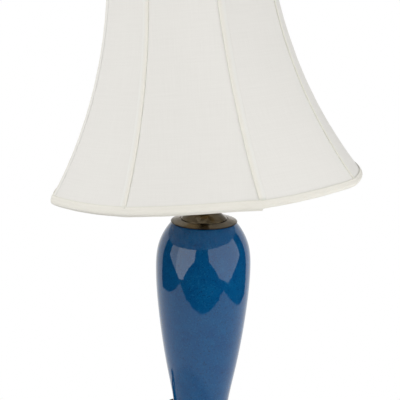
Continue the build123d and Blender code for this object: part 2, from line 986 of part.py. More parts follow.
def lead_wires():
    """The two wires from the bushing into the rod and up to the contact block."""
    top = holder_level + cone_height() + slip / 2
    wires = []
    for side in (-lead_spread, lead_spread):
        route = [
            (bushing_inner_end(), side, cord_level),
            (0, side, cord_level),
            (0, side, top),
        ]
        wire = tube_along(FilletPolyline(*route, radius=lead_bend), lead_radius)
        wires.append(Rot(0, 0, cord_bearing()) * wire)
    return Compound(children=wires)


def route_radii(route):
    """Radius at each corner of a route: as large as its two runs allow."""
    places = [Vector(*place) for place in route]
    runs = [after - before for before, after in zip(places, places[1:])]
    radii = []
    for before, after in zip(runs, runs[1:]):
        half_turn = math.radians(before.get_angle(after)) / 2
        radii.append(corner_share * min(before.length, after.length) / math.tan(half_turn))
    return radii


def cord_path():
    return FilletPolyline(*cord_route, radius=route_radii(cord_route))


def coil_start():
    """Where the winding begins, one diameter past the end of the free stretch, and its heading."""
    end = Vector(*cord_route[-1])
    heading = (end - Vector(*cord_route[-2])).normalized()
    heading = Vector(heading.X, heading.Y, 0).normalized()
    return end + heading * 2 * cord_radius, heading


coil_pitch = 2 * cord_radius + coil_gap


def coil_at(turns):
    """Point on the coil: in along the floor, up a layer at the reversal, out again on top."""
    start, heading = coil_start()
    centre = start + Vector(-heading.Y, heading.X, 0) * coil_radius
    radius = coil_radius - coil_pitch * min(turns, coil_turns - turns)
    share = min(max((turns - coil_turns / 2) / coil_climb + 0.5, 0), 1)
    rise = coil_pitch * share * share * (3 - 2 * share)
    begin = math.atan2(-heading.X, heading.Y)
    angle = begin + 2 * math.pi * turns
    return centre + Vector(radius * math.cos(angle), radius * math.sin(angle), rise)


def coil_heading(turns):
    """Direction of the cord on the coil."""
    if turns <= 0:
        return coil_start()[1]
    if turns >= coil_turns:
        spoke = coil_at(coil_turns) - coil_start()[0] - coil_side()
        return Vector(0, 0, 1).cross(Vector(spoke.X, spoke.Y, 0)).normalized()
    return (coil_at(turns + coil_step) - coil_at(turns - coil_step)).normalized()


def coil_side():
    """From the coil's start to its middle."""
    heading = coil_start()[1]
    return Vector(-heading.Y, heading.X, 0) * coil_radius


def biarc(start, leaving, end, arriving):
    """Two arcs that join two points with a given heading at each."""
    span = end - start
    both = leaving + arriving
    spread = 2 * (1 - leaving.dot(arriving))
    along = span.dot(both)
    reach = (math.sqrt(along**2 + spread * span.dot(span)) - along) / spread
    first = start + leaving * reach
    second = end - arriving * reach
    middle = (first + second) * 0.5
    return [
        TangentArc(start, middle, tangent=leaving),
        TangentArc(middle, end, tangent=(second - first).normalized()),
    ]


def coil_edges():
    """The whole coil: a straight, quarter turns as biarcs, and the straight to the plug."""
    quarters = round(coil_turns * 4)
    stops = [coil_turns * index / quarters for index in range(quarters + 1)]
    edges = [Line(Vector(*cord_route[-1]), coil_at(0))]
    for low, high in zip(stops, stops[1:]):
        edges += biarc(coil_at(low), coil_heading(low), coil_at(high), coil_heading(high))
    end = coil_at(coil_turns)
    edges.append(Line(end, end + coil_heading(coil_turns) * plug_lead))
    return edges


def least_gap(edges):
    """Least space between turns of the coil, measured on points along it."""
    places = [edge @ (step / gap_points) for edge in edges for step in range(gap_points)]
    apart = gap_points * gap_skip
    gaps = []
    for index, place in enumerate(places):
        gaps += [(place - other).length for other in places[index + apart:]]
    return min(gaps) - 2 * cord_radius


def cord_tie():
    """Strap round the coil's bundle, where both layers have the same radii."""
    layers = math.floor(coil_turns / 2 - tie_turn)
    inner_turn = coil_radius - coil_pitch * (layers + tie_turn)
    bow = tie_width**2 / 8 / inner_turn
    near = inner_turn - cord_radius - bow - tie_slack
    far = coil_radius - coil_pitch * tie_turn + cord_radius + tie_slack
    tall = coil_pitch + 2 * (cord_radius + sewn_gap)
    wide = far - near
    strap = RectangleRounded(wide + 2 * tie_thickness, tall + 2 * tie_thickness, tie_round)
    strap -= RectangleRounded(wide, tall, tie_round - tie_thickness)
    middle = coil_start()[0] + coil_side()
    spoke = coil_at(tie_turn) - middle
    out = Vector(spoke.X, spoke.Y, 0).normalized()
    place = middle + out * ((near + far) / 2) + Vector(0, 0, coil_pitch / 2)
    face = Plane(origin=place, x_dir=out, z_dir=out.cross(Vector(0, 0, 1)))
    return face * extrude(strap, tie_width / 2, both=True)


def plug_plane():
    """Frame of the plug: z along the cord, x upright."""
    heading = coil_heading(coil_turns)
    end = coil_at(coil_turns) + heading * plug_lead
    return Plane(origin=end, x_dir=(0, 0, 1), z_dir=heading)


def plug_body():
    """Moulded plug with a tapered tail."""
    tail = turned_points((0, 0), (cord_radius + slip, 0), (plug_tail_radius, plug_tail), (0, plug_tail))
    block = extrude(RectangleRounded(plug_thickness, plug_width, plug_round), plug_length)
    return plug_plane() * (tail + Pos(0, 0, plug_tail) * block)


def plug_blades():
    """Two flat blades."""
    blade = Box(blade_width, blade_thickness, blade_length, align=LOW)
    start = plug_tail + plug_length
    sides = [Pos(0, side * blade_spacing / 2, start) * blade for side in (-1, 1)]
    return plug_plane() * Compound(children=sides)


# Build

def main():
    os.makedirs("parts", exist_ok=True)
    export("felt_pad", felt_pad())
    export("base", base())
    export("base_weight", base_weight())
    export("base_washer", base_washer())
    export("base_nut", base_nut())
    export("vase_gasket", vase_gasket())
    export("vase", vase())
    export("vase_cap", vase_cap())
    export("neck", neck())
    export("lamp_rod", lamp_rod())
    export("harp_saddle", harp_saddle())
    export("harp", harp())
    export("harp_sleeve_left", harp_sleeve(1))
    export("harp_sleeve_right", harp_sleeve(-1))
    export("holder_cap", holder_cap())
    export("set_screw", set_screw())
    export("holder_shell", holder_shell())
    export("holder_liner", holder_liner())
    export("contact_block", contact_block())
    export("screw_shell", screw_shell())
    export("centre_contact", centre_contact())
    export("switch_shaft", switch_shaft())
    export("switch_knob", switch_knob())
    export("bulb_cap", bulb_cap())
    export("bulb_glass", bulb_glass())
    in_shade = shade_plane()
    export("shade_top_ring", in_shade * wire_ring(top_ring_run))
    export("shade_bottom_ring", in_shade * wire_ring(bottom_ring_run))
    export("shade_ribs", in_shade * shade_ribs())
    export("shade_spider", in_shade * shade_spider())
    export("shade_lining", in_shade * shade_lining())
    top_binding = binding(bell_length, -1, top_trim_depth) - spider_arms(sewn_gap)
    export("shade_top_binding", in_shade * top_binding)
    export("shade_bottom_binding", in_shade * binding(0, 1, bottom_trim_depth))
    tape = seam_tape()
    for index in range(panel_count):
        export(f"shade_panel_{index + 1}", in_shade * shade_panel(index))
        export(f"seam_tape_{index + 1}", in_shade * seam_turn(index) * tape)
    export("harp_stud", in_shade * harp_stud())
    export("finial", in_shade * finial())
    export("cord_bushing", cord_bushing())
    export("lead_wires", lead_wires())
    path = cord_path()
    cord_lead = tube_along(path, cord_radius)
    edges = coil_edges()
    coil_path = Wire(edges)
    cord_coil = tube_along(coil_path, cord_radius)
    export("cord_lead", cord_lead)
    export("cord_coil", cord_coil)
    export("cord_tie", cord_tie())
    export("plug_body", plug_body())
    export("plug_blades", plug_blades())
    section = math.pi * cord_radius**2
    print("cord corner radii", [round(radius, 1) for radius in route_radii(cord_route)])
    print("cord length", round(path.length + coil_path.length, 1))
    print("cord volume over section times length", round(cord_lead.volume / section / path.length, 4))
    print("coil volume over section times length", round(cord_coil.volume / section / coil_path.length, 4))
    print("coil least gap", round(least_gap(edges[1:-1]), 3))
    print("shade seat", shade_plane().origin + shade_axis() * shade_seat_height, "axis", shade_axis())
    print("plug", plug_plane().origin, "heading", plug_plane().z_dir)
    print("harp axis", harp_axis(), "switch", direction(lean_direction + 90), holder_level + shaft_height)


main()
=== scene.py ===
"""The ceramic table lamp as it looks: glazed vase, bronze fittings, sewn bell shade and black cord."""
import json
import math

import bpy
from mathutils import Matrix, Vector, noise


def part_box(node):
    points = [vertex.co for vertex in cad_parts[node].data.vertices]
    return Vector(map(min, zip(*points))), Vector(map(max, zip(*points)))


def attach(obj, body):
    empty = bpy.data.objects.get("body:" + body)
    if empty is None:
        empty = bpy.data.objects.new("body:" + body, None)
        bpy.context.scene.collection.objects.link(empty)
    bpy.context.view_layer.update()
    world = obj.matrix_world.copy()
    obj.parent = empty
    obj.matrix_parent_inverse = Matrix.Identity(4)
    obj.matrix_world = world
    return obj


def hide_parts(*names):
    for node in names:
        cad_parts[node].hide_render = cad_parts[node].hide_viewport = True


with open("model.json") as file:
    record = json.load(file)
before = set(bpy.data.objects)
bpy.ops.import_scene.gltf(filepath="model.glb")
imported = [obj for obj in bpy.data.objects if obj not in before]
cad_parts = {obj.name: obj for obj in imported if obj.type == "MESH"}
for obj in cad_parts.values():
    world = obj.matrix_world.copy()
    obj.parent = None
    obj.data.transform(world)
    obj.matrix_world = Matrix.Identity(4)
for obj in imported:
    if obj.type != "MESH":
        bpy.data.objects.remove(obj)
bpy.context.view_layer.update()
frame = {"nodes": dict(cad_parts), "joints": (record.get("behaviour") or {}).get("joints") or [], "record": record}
nodes = frame["nodes"]
slots = {row["node"]: row["material_slot"] for row in frame["record"]["subparts"]}

# Camera, from the photograph's perspective
image_side = 400
focal_pixels = 1162.2
sensor = 36.0
camera_place = Vector((-0.0057, -1.4604, 0.7129))
camera_dip = math.radians(13.641)
camera_roll = math.radians(1.0)

# Shade, in metres: radii in the middle of a panel, runs measured up the curve from the rim
panel_count = 8
seam_bearing = math.radians(-72.6)
rim_radius = 0.1981
top_radius = 0.0993
shade_height = 0.2972
bell_curve = 0.570
plan_curve = 0.3100
seat_height = 0.2867
panel_cloth = 0.0006
panel_share = 0.9985        # of the width between two seams
lining_inset = 0.0041
lining_cloth = 0.0006
sewn_gap = 0.0001

# Puckers and slack of the shade's cloth: depths, and the sizes of their pattern, in metres
seam_pucker = 0.00022
seam_pucker_size = 0.0085
seam_pucker_start = 0.72    # share of a panel's half width
rim_pucker = 0.00018
rim_pucker_size = 0.0075
rim_pucker_reach = 0.022    # above the binding
panel_slack = 0.00045
panel_slack_size = 0.055
lining_slack = 0.0005
lining_outward = 0.0002     # most that the lining stands out towards the panels
lining_slack_size = 0.012
lining_slack_scale = (0.09, 0.35)   # weight of turns and of runs in the lining's pattern

# Trim of the shade, in metres
trim_cloth = 0.0009
tape_width = 0.0094
tape_tuck = 0.003           # end of a tape under each binding
tape_sway = 0.00022
tape_sway_size = 0.035
tape_puff = 0.10            # share of the cloth's thickness
tape_puff_size = 0.012
tape_puff_width = 0.004     # weight of the half width in the puffs' pattern
bottom_trim = 0.010
top_trim = 0.008
trim_turn_in = 0.008
binding_sway = 0.00025
binding_sway_size = 0.02
binding_sway_scale = (0.1, 0.2)     # weight of turns and of offsets in the sway's pattern
binding_stretch = 0.16      # along one panel, on the flat cloth
binding_girth = 0.045       # round its section, on the flat cloth
# How far each front tape is sewn off its seam, at the rim and at the crown
tape_drift = {7: (-0.0045, -0.0035), 0: (0.0045, 0.0008), 1: (0.0045, 0.0030)}
# Tapes whose fold lies on the right
right_folds = (3, 5, 7)

# Mesh steps and shading angles
panel_columns = 40
panel_rows = 130
lining_rows = 90
tape_rows = 150
merge_distance = 1e-6
plain_edge = math.radians(40)
trim_edge = math.radians(60)

# Supply cord, in metres
cord_radius = 0.003
cord_route = [
    (-0.0288, 0.0384, 0.0588),
    (-0.0372, 0.0496, 0.0588),
    (-0.0442, 0.0620, 0.0496),
    (-0.0494, 0.0751, 0.0382),
    (-0.0520, 0.0852, 0.0235),
    (-0.0557, 0.0968, 0.0103),
    (-0.0631, 0.1115, 0.0040),
    (-0.0771, 0.1228, 0.0040),
]
coil_turns = 7.25
coil_radius = 0.0476
coil_pitch = 0.0066
coil_climb = 0.5
coil_points_per_turn = 16
plug_lead = 0.024


def clamp(value):
    """A value held between 0 and 1."""
    return max(0.0, min(1.0, value))


def ease(share):
    """A share from 0 to 1 that starts and ends slowly."""
    return share * share * (3 - 2 * share)


# Node helpers

VECTOR = "NodeSocketVector"
FLOAT = "NodeSocketFloat"
# Ranges of soft noise that are spread over a finish
noise_span = (0.3, 0.7)
noise_middle = (0.35, 0.65)


def rgb(red, green, blue):
    """An opaque colour."""
    return red, green, blue, 1.0


def add(tree, kind, inputs=(), **settings):
    """A node with its settings, and its inputs set to constants or linked to sockets."""
    node = tree.nodes.new(kind)
    for name, value in settings.items():
        setattr(node, name, value)
    for name, value in dict(inputs).items():
        if isinstance(value, bpy.types.NodeSocket):
            tree.links.new(value, node.inputs[name])
        else:
            node.inputs[name].default_value = value
    return node


def math_node(tree, operation, first, second=0.0):
    """Result of one sum."""
    return add(tree, "ShaderNodeMath", {0: first, 1: second}, operation=operation).outputs[0]


def blend_colour(tree, factor, first, second):
    """Colour between two, by a mask."""
    inputs = {"Factor": factor, 6: first, 7: second}
    return add(tree, "ShaderNodeMix", inputs, data_type="RGBA").outputs[2]


def remap(tree, value, span, result=(0, 1)):
    """A value moved from one range to another."""
    names = ("Value", "From Min", "From Max", "To Min", "To Max")
    return add(tree, "ShaderNodeMapRange", dict(zip(names, (value, *span, *result)))).outputs[0]


def stretch(tree, vector, scale):
    """A coordinate scaled along its axes."""
    return add(tree, "ShaderNodeMapping", {"Vector": vector, "Scale": scale}).outputs[0]


def cloud(tree, vector, scale, detail=3.0, roughness=0.5):
    """Soft noise from 0 to 1."""
    inputs = {"Vector": vector, "Scale": scale, "Detail": detail, "Roughness": roughness}
    return add(tree, "ShaderNodeTexNoise", inputs).outputs[0]


def new_group(name, inputs, outputs):
    """A shading group with named sockets: the group, its inputs and its outputs."""
    group = bpy.data.node_groups.new(name, "ShaderNodeTree")
    for label, kind in inputs:
        group.interface.new_socket(label, in_out="INPUT", socket_type=kind)
    for label in outputs:
        group.interface.new_socket(label, in_out="OUTPUT", socket_type=FLOAT)
    entry = group.nodes.new("NodeGroupInput")
    leave = group.nodes.new("NodeGroupOutput")
    return group, entry.outputs, leave.inputs


def make_weave():
    """Plain weave: threads over and under, with slubs that run along single threads."""
    under = 0.55                    # height of a thread that passes under another
    warp_slubs = (0.35, 0.012, 1)   # slubs per thread, across and along
    weft_slubs = (0.010, 0.30, 1)
    group, given, result = new_group(
        "plain_weave", [("Vector", VECTOR), ("Pitch", FLOAT)], ["Slub", "Height"]
    )
    parts = add(group, "ShaderNodeSeparateXYZ", {0: given["Vector"]}).outputs
    threads = [math_node(group, "DIVIDE", parts[axis], given["Pitch"]) for axis in (0, 1)]
    rounds = []
    for thread in threads:
        wave = math_node(group, "SINE", math_node(group, "MULTIPLY", thread, math.pi))
        rounds.append(math_node(group, "ABSOLUTE", wave))
    grid = add(group, "ShaderNodeCombineXYZ", {0: threads[0], 1: threads[1]}).outputs[0]
    over = add(group, "ShaderNodeTexChecker", {"Vector": grid, "Scale": 1.0}).outputs[1]
    warp = math_node(group, "MULTIPLY", rounds[0], remap(group, over, (0, 1), (under, 1)))
    weft = math_node(group, "MULTIPLY", rounds[1], remap(group, over, (0, 1), (1, under)))
    group.links.new(math_node(group, "MAXIMUM", warp, weft), result["Height"])
    slubs = []
    for scale in (warp_slubs, weft_slubs):
        slubs.append(cloud(group, stretch(group, grid, scale), scale=1.0, detail=4.0, roughness=0.6))
    mean = math_node(group, "MULTIPLY", math_node(group, "ADD", *slubs), 0.5)
    group.links.new(mean, result["Slub"])
    return group


def make_wear():
    """Handling wear on metal: broad cloudy patches, fine specks and hairline scratches."""
    speck_scale = 14.0              # times the patches' own scale
    speck_span = (0.62, 0.75)
    scratch_scale = 3.0
    scratch_stretch = (1, 1, 40)
    group, given, result = new_group(
        "handling_wear", [("Vector", VECTOR), ("Scale", FLOAT)], ["Patches", "Specks", "Scratches"]
    )
    place = given["Vector"]
    broad = cloud(group, place, given["Scale"], detail=5.0, roughness=0.6)
    group.links.new(remap(group, broad, noise_middle), result["Patches"])
    finer = math_node(group, "MULTIPLY", given["Scale"], speck_scale)
    fine = cloud(group, place, finer, roughness=0.7)
    group.links.new(remap(group, fine, speck_span), result["Specks"])
    closer = math_node(group, "MULTIPLY", given["Scale"], scratch_scale)
    lines = cloud(group, stretch(group, place, scratch_stretch), closer, detail=4.0, roughness=0.7)
    group.links.new(lines, result["Scratches"])
    return group


def make_grain():
    """Fine moulded or cast grain, with a slow change of tone."""
    tone_scale = 0.08               # times the grain's own scale
    group, given, result = new_group(
        "fine_grain", [("Vector", VECTOR), ("Scale", FLOAT)], ["Tone", "Height"]
    )
    fine = cloud(group, given["Vector"], given["Scale"], detail=5.0, roughness=0.65)
    group.links.new(fine, result["Height"])
    slow = math_node(group, "MULTIPLY", given["Scale"], tone_scale)
    group.links.new(cloud(group, given["Vector"], slow), result["Tone"])
    return group


weave_group = make_weave()
wear_group = make_wear()
grain_group = make_grain()


# Finishes

def start_finish(name, **sockets):
    """A new material: its node tree, its shader's inputs and the object's own coordinates."""
    finish = bpy.data.materials.new(name)
    finish.use_nodes = True
    tree = finish.node_tree
    shader = tree.nodes["Principled BSDF"]
    for label, value in sockets.items():
        shader.inputs[label.replace("_", " ")].default_value = value
    place = add(tree, "ShaderNodeTexCoord").outputs["Object"]
    return finish, tree, shader.inputs, place


def bump(tree, sockets, height, strength, distance):
    """Relief from a height."""
    inputs = {"Height": height, "Strength": strength, "Distance": distance}
    tree.links.new(add(tree, "ShaderNodeBump", inputs).outputs[0], sockets["Normal"])


def glaze():
    """Deep blue glaze, mottled and speckled, with a faintly wavy gloss."""
    deep = rgb(0.0, 0.059, 0.188)
    bright = rgb(0.0, 0.082, 0.226)
    pale_speck = rgb(0.012, 0.12, 0.27)
    dark_speck = rgb(0.0, 0.031, 0.102)
    gloss = (0.035, 0.06)
    finish, tree, sockets, place = start_finish("blue_glaze", IOR=1.45)
    mottle = cloud(tree, place, scale=55.0, detail=5.0, roughness=0.62)
    colour = blend_colour(tree, remap(tree, mottle, noise_span), deep, bright)
    pale = cloud(tree, place, scale=540.0, detail=2.0, roughness=0.6)
    pale = remap(tree, pale, span=(0.54, 0.70), result=(0, 0.7))
    colour = blend_colour(tree, pale, colour, pale_speck)
    dark = cloud(tree, place, scale=430.0, detail=2.0, roughness=0.6)
    dark = remap(tree, dark, span=(0.57, 0.72), result=(0, 0.8))
    colour = blend_colour(tree, dark, colour, dark_speck)
    tree.links.new(colour, sockets["Base Color"])
    tree.links.new(remap(tree, mottle, noise_span, gloss), sockets["Roughness"])
    waves = cloud(tree, place, scale=38.0, detail=2.0, roughness=0.4)
    bump(tree, sockets, waves, strength=0.12, distance=0.0012)
    return finish


def metal(name, dark, bright, roughness, wear_scale, relief=0.05, painted_shadow=None):
    """Metal with cloudy tone, specks and scratches; an optional painted shadow darkens it below a height and fades
    out between two heights.
    """
    pit_strength = 0.45
    pit_tone = 0.45                 # share of the dark tone
    painted_shadow_strength = 0.9
    painted_shadow_colour = rgb(0.010, 0.009, 0.010)
    finish, tree, sockets, place = start_finish(name, Metallic=1.0)
    wear = add(tree, "ShaderNodeGroup", node_tree=wear_group)
    tree.links.new(place, wear.inputs["Vector"])
    wear.inputs["Scale"].default_value = wear_scale
    tone = blend_colour(tree, wear.outputs["Patches"], dark, bright)
    pits = remap(tree, wear.outputs["Specks"], (0, 1), (0, pit_strength))
    tone = blend_colour(tree, pits, tone, rgb(*(pit_tone * part for part in dark[:3])))
    # Painted shadow: near black below the lower height, fading out by the upper one
    if painted_shadow:
        level = add(tree, "ShaderNodeSeparateXYZ", {0: place}).outputs[2]
        tone = blend_colour(tree, remap(tree, level, painted_shadow, (painted_shadow_strength, 0)), tone, painted_shadow_colour)
    tree.links.new(tone, sockets["Base Color"])
    tree.links.new(remap(tree, wear.outputs["Scratches"], noise_span, roughness), sockets["Roughness"])
    bump(tree, sockets, wear.outputs["Scratches"], relief, distance=0.0004)
    return finish


def folded_colour(tree, spot, colour, pale, shade_line_colour):
    """Trim colour: paler away from a tape's fold, with a painted shadow line in the fold and along a binding's
    upper edge.
    """
    tape_edge = 0.0065              # across the flat tape, from its middle
    fade_span = (-0.0012, 0.0030)
    fold_place = -0.0047
    fold_shade_reach = (0.0003, 0.0009)    # distance from the fold
    fold_shade_strength = 0.65
    edge_shade_reach = (0.0015, 0.0045)    # along the flat cloth
    edge_shade_strength = 0.45
    across, along, _ = add(tree, "ShaderNodeSeparateXYZ", {0: spot}).outputs
    on_tape = math_node(tree, "LESS_THAN", across, tape_edge)
    faded = math_node(tree, "MULTIPLY", remap(tree, across, fade_span), on_tape)
    colour = blend_colour(tree, faded, colour, pale)
    # Painted shade: a dark line along the tape's fold and along a binding's upper edge
    off_line = math_node(tree, "ABSOLUTE", math_node(tree, "ADD", across, -fold_place))
    fold_shade_line = remap(tree, off_line, fold_shade_reach, (fold_shade_strength, 0))
    edge_shade_line = remap(tree, along, edge_shade_reach, (edge_shade_strength, 0))
    return blend_colour(tree, math_node(tree, "MAXIMUM", fold_shade_line, edge_shade_line), colour, shade_line_colour)


def cloth_finish(name, dark, light, pitch, sheen, relief, turn=0.0, fold=None):
    """Woven cloth from the piece's own UV map in metres; fold gives a trim's pale colour and the colour of its
    painted shadow lines.
    """
    slub_height = 1.5               # in threads
    thread_height = 0.3             # share of the pitch
    finish, tree, sockets, _ = start_finish(
        name, Roughness=0.85, Sheen_Weight=sheen, Sheen_Roughness=0.4
    )
    spot = add(tree, "ShaderNodeTexCoord").outputs["UV"]
    laid = add(tree, "ShaderNodeMapping", {"Vector": spot, "Rotation": (0, 0, turn)}).outputs[0]
    weave = add(tree, "ShaderNodeGroup", {"Vector": laid, "Pitch": pitch}, node_tree=weave_group)
    slub = remap(tree, weave.outputs["Slub"], noise_middle)
    colour = blend_colour(tree, slub, dark, light)
    if fold:
        colour = folded_colour(tree, spot, colour, *fold)
    tree.links.new(colour, sockets["Base Color"])
    thick = math_node(tree, "MULTIPLY", slub, slub_height)
    height = math_node(tree, "ADD", weave.outputs["Height"], thick)
    bump(tree, sockets, height, relief, pitch * thread_height)
    return finish


def moulded(name, dark, light, roughness, grain_scale, relief):
    """Plastic, rubber, paint or card with a fine grain and a slightly uneven tone."""
    finish, tree, sockets, place = start_finish(name)
    grain = add(tree, "ShaderNodeGroup", {"Vector": place, "Scale": grain_scale}, node_tree=grain_group)
    tone = grain.outputs["Tone"]
    tree.links.new(blend_colour(tree, tone, dark, light), sockets["Base Color"])
    tree.links.new(remap(tree, tone, noise_span, roughness), sockets["Roughness"])
    bump(tree, sockets, grain.outputs["Height"], relief, distance=0.0003)
    return finish


def bulb_finish():
    """Frosted white glass."""
    frosting = (0.32, 0.45)
    finish, tree, sockets, place = start_finish(
        "frosted_glass", Base_Color=rgb(0.9, 0.9, 0.88), Transmission_Weight=0.35, IOR=1.45
    )
    frost = cloud(tree, place, scale=400.0, roughness=0.6)
    tree.links.new(remap(tree, frost, noise_span, frosting), sockets["Roughness"])
    bump(tree, sockets, frost, strength=0.04, distance=0.0002)
    return finish


def felt_finish():
    """Pressed felt: matted fibres in two browns."""
    dark = rgb(0.07, 0.045, 0.028)
    light = rgb(0.19, 0.13, 0.085)
    finish, tree, sockets, place = start_finish("brown_felt", Roughness=0.95, Sheen_Weight=0.3)
    fibres = cloud(tree, place, scale=700.0, detail=6.0, roughness=0.75)
    tree.links.new(blend_colour(tree, fibres, dark, light), sockets["Base Color"])
    bump(tree, sockets, fibres, strength=0.5, distance=0.0006)
    return finish


# Metals: dark and bright tone, roughness, patches of wear per metre and, on rough iron, relief
bronze = (rgb(0.105, 0.083, 0.052), rgb(0.20, 0.16, 0.105), (0.17, 0.29), 40.0)
metals = {
    "aged_bronze": bronze,
    "brass_plate": (rgb(0.52, 0.39, 0.18), rgb(0.66, 0.52, 0.27), (0.26, 0.40), 60.0),
    "holder_brass": (rgb(0.60, 0.45, 0.21), rgb(0.72, 0.56, 0.28), (0.16, 0.28), 70.0),
    "zinc_steel": (rgb(0.44, 0.44, 0.45), rgb(0.60, 0.60, 0.61), (0.30, 0.46), 80.0),
    "bare_aluminium": (rgb(0.66, 0.66, 0.67), rgb(0.80, 0.80, 0.81), (0.28, 0.42), 90.0),
    "raw_iron": (rgb(0.06, 0.055, 0.05), rgb(0.14, 0.13, 0.12), (0.55, 0.75), 50.0, 0.4),
}
# Mouldings, coatings and card: dark and light tone, roughness, grain per metre and relief
mouldings = {
    "black_rubber": (rgb(0.018, 0.018, 0.018), rgb(0.032, 0.032, 0.032), (0.6, 0.75), 500.0, 0.15),
    "white_wire": (rgb(0.74, 0.74, 0.72), rgb(0.80, 0.80, 0.78), (0.3, 0.42), 400.0, 0.08),
    "black_moulding": (rgb(0.014, 0.014, 0.015), rgb(0.024, 0.024, 0.025), (0.34, 0.46), 900.0, 0.12),
    "grey_card": (rgb(0.27, 0.25, 0.22), rgb(0.38, 0.36, 0.32), (0.8, 0.9), 600.0, 0.25),
    "wire_insulation": (rgb(0.50, 0.41, 0.22), rgb(0.60, 0.50, 0.29), (0.35, 0.5), 500.0, 0.08),
    "black_cord": (rgb(0.007, 0.007, 0.008), rgb(0.013, 0.013, 0.014), (0.50, 0.62), 700.0, 0.12),
    "tie_strap": (rgb(0.03, 0.03, 0.03), rgb(0.055, 0.055, 0.055), (0.6, 0.75), 900.0, 0.3),
}
finishes = {
    "blue_glaze": glaze(),
    "brown_felt": felt_finish(),
    "frosted_glass": bulb_finish(),
    "shade_cloth": cloth_finish(
        "shade_cloth", rgb(0.765, 0.748, 0.710), rgb(0.792, 0.776, 0.738),
        pitch=0.00055, sheen=0.1, relief=0.16,
    ),
    "lining_cloth": cloth_finish(
        "lining_cloth", rgb(0.80, 0.79, 0.755), rgb(0.84, 0.83, 0.80),
        pitch=0.00035, sheen=0.3, relief=0.12,
    ),
    "trim_cloth": cloth_finish(
        "trim_cloth", rgb(0.775, 0.750, 0.675), rgb(0.81, 0.788, 0.722),
        pitch=0.0005, sheen=0.15, relief=0.2, turn=math.pi / 4,
        # Pale colour away from the fold, then the colour of the painted shadow lines
        fold=(rgb(0.795, 0.785, 0.745), rgb(0.54, 0.55, 0.46)),
    ),
}
finishes.update({name: metal(name, *values) for name, values in metals.items()})
finishes.update({name: moulded(name, *values) for name, values in mouldings.items()})


def dress(piece, slot, body, *replaced):
    """Give a new piece its finish, its body and the nodes that it stands for."""
    piece.data.materials.clear()
    piece.data.materials.append(finishes[slot])
    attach(piece, body)
    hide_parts(*replaced)
    return piece


for node_name, node in nodes.items():
    node.data.materials.clear()
    node.data.materials.append(finishes[slots[node_name]])

# The cap has a painted shadow along its lower edge, standing for the shade in the gap under its flange; it fades
# between two heights above that edge
cap_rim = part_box("vase_cap")[0].z
cap_painted_shadow = (cap_rim + 0.0011, cap_rim + 0.0018)
nodes["vase_cap"].data.materials[0] = metal("cap_bronze", *bronze, painted_shadow=cap_painted_shadow)


# Modelling helpers

def start_piece(name):
    """Name the object that an operator has just added."""
    piece = bpy.context.object
    piece.name = name
    piece.data.name = name
    return piece


def deselect():
    """Select nothing, before a primitive is added."""
    bpy.ops.object.select_all(action="DESELECT")


def pick(piece):
    """Select one piece alone."""
    deselect()
    piece.select_set(True)
    bpy.context.view_layer.objects.active = piece


def finish_modifiers(piece):
    """Apply what is on a piece."""
    pick(piece)
    for modifier in list(piece.modifiers):
        bpy.ops.object.modifier_apply(modifier=modifier.name)


def thicken(piece, thickness):
    """Cloth thickness inwards from the outer face."""
    solidify = piece.modifiers.new("thickness", "SOLIDIFY")
    solidify.thickness = thickness
    solidify.offset = -1.0
    finish_modifiers(piece)


def smooth(piece, angle=plain_edge):
    """Smooth shading, apart from edges sharper than an angle."""
    pick(piece)
    bpy.ops.object.shade_smooth_by_angle(angle=angle)


def grid_piece(name, columns, rows, place, flat):
    """A sheet of columns by rows: place and flat give each corner's point and its spot on the flat cloth."""
    deselect()
    bpy.ops.mesh.primitive_grid_add(x_subdivisions=columns, y_subdivisions=rows)
    piece = start_piece(name)
    across = columns + 1
    counts = [(vertex.index % across, vertex.index // across) for vertex in piece.data.vertices]
    for vertex, (column, row) in zip(piece.data.vertices, counts):
        vertex.co = place(column / columns, row / rows)
    layer = piece.data.uv_layers.active.data
    for loop in piece.data.loops:
        column, row = counts[loop.vertex_index]
        layer[loop.index].uv = flat(column / columns, row / rows)
    return piece


def merge_edges(piece):
    """Open a rolled grid in edit mode and merge its corners where it meets itself."""
    pick(piece)
    bpy.ops.object.mode_set(mode="EDIT")
    bpy.ops.mesh.select_all(action="SELECT")
    bpy.ops.mesh.remove_doubles(threshold=merge_distance)


def close_tube(piece):
    """Merge the two long edges of a rolled grid, fill its open ends and turn its faces outwards."""
    merge_edges(piece)
    bpy.ops.mesh.select_all(action="DESELECT")
    bpy.ops.mesh.select_mode(type="EDGE")
    bpy.ops.mesh.select_non_manifold(
        extend=False, use_multi_face=False, use_non_contiguous=False, use_verts=False
    )
    bpy.ops.mesh.fill()
    bpy.ops.mesh.select_all(action="SELECT")
    bpy.ops.mesh.normals_make_consistent(inside=False)
    bpy.ops.object.mode_set(mode="OBJECT")


# Shade, in its own frame: up its joint's axis, with its origin at the rim's level

shade_joint = next(joint for joint in frame["joints"] if joint["name"] == "shade_turn")
shade_up = Vector(shade_joint["axis"]).normalized()
shade_across = Vector((0, 1, 0)).cross(shade_up).normalized()
shade_frame = Matrix((shade_across, shade_up.cross(shade_across), shade_up)).transposed().to_4x4()
shade_frame.translation = Vector(shade_joint["pos_m"]) - shade_up * seat_height

# The bell's arc from rim to crown, and how far a panel's plan arc is centred behind the axis
half_panel = math.pi / panel_count
bell_chord = math.hypot(rim_radius - top_radius, shade_height)
bell_half_angle = math.asin(bell_chord / 2 / bell_curve)
rim_slope = math.atan2(rim_radius - top_radius, shade_height) + bell_half_angle
bell_length = 2 * bell_half_angle * bell_curve
bell_centre = (rim_radius + bell_curve * math.cos(rim_slope), bell_curve * math.sin(rim_slope))
plan_offset = plan_curve - rim_radius


def bell(run, inset):
    """Radius and height in the middle of a panel."""
    angle = rim_slope - run / bell_curve
    reach = bell_curve + inset
    return bell_centre[0] - reach * math.cos(angle), bell_centre[1] - reach * math.sin(angle)


